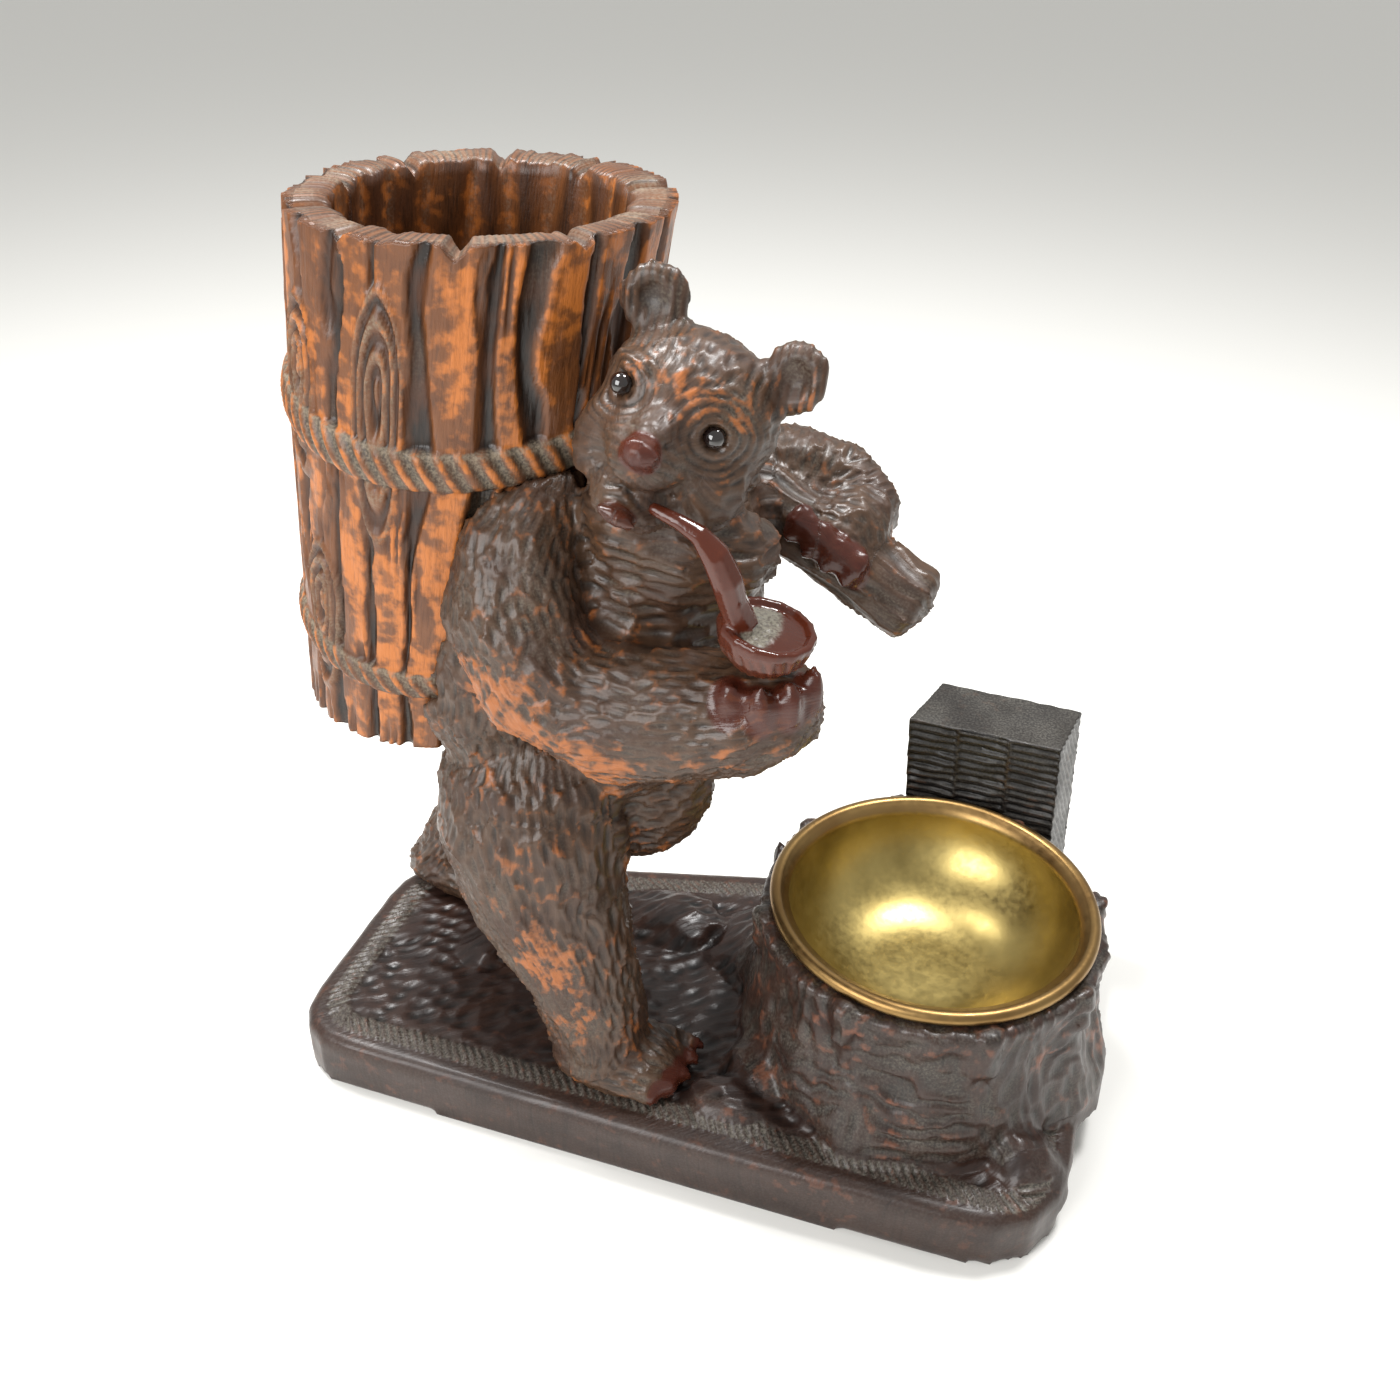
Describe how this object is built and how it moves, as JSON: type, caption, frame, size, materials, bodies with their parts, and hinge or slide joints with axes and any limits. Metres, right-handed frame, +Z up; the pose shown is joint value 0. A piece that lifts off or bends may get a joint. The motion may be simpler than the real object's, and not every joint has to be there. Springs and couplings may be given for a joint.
{
  "type": "carved bear tobacco box",
  "caption": "Carved wooden smoker's set: a bear smoking a pipe carries a hollow trunk as tobacco jar, on a plank base with a stump for a brass bowl and an upright match block.",
  "frame": {"origin": "on the underside of the base, near its middle", "axes": "+Z up, +X along the base the way the bear walks, -Y the side its face is turned to"},
  "size_m": [0.1772, 0.1089, 0.19],
  "materials": {
    "base_wood": "dark stained and varnished, chip carved",
    "bear_wood": "dark brown stain worn to orange on the ridges, gouge cut fur",
    "bark_wood": "brown stain worn to orange on the plates of bark, deep furrows",
    "block_wood": "nearly black stain, rows of short gouge cuts",
    "pipe_wood": "polished red brown",
    "brass": "satin, darker and redder on the rim",
    "eye_glass": "glossy black"
  },
  "bodies": {
    "root": {"base_and_stump": "base_wood", "bear": "bear_wood", "trunk_jar": "bark_wood", "match_block": "block_wood", "pipe": "pipe_wood", "brass_bowl": "brass", "eye_right": "eye_glass", "eye_left": "eye_glass"}
  },
  "joints": []
}
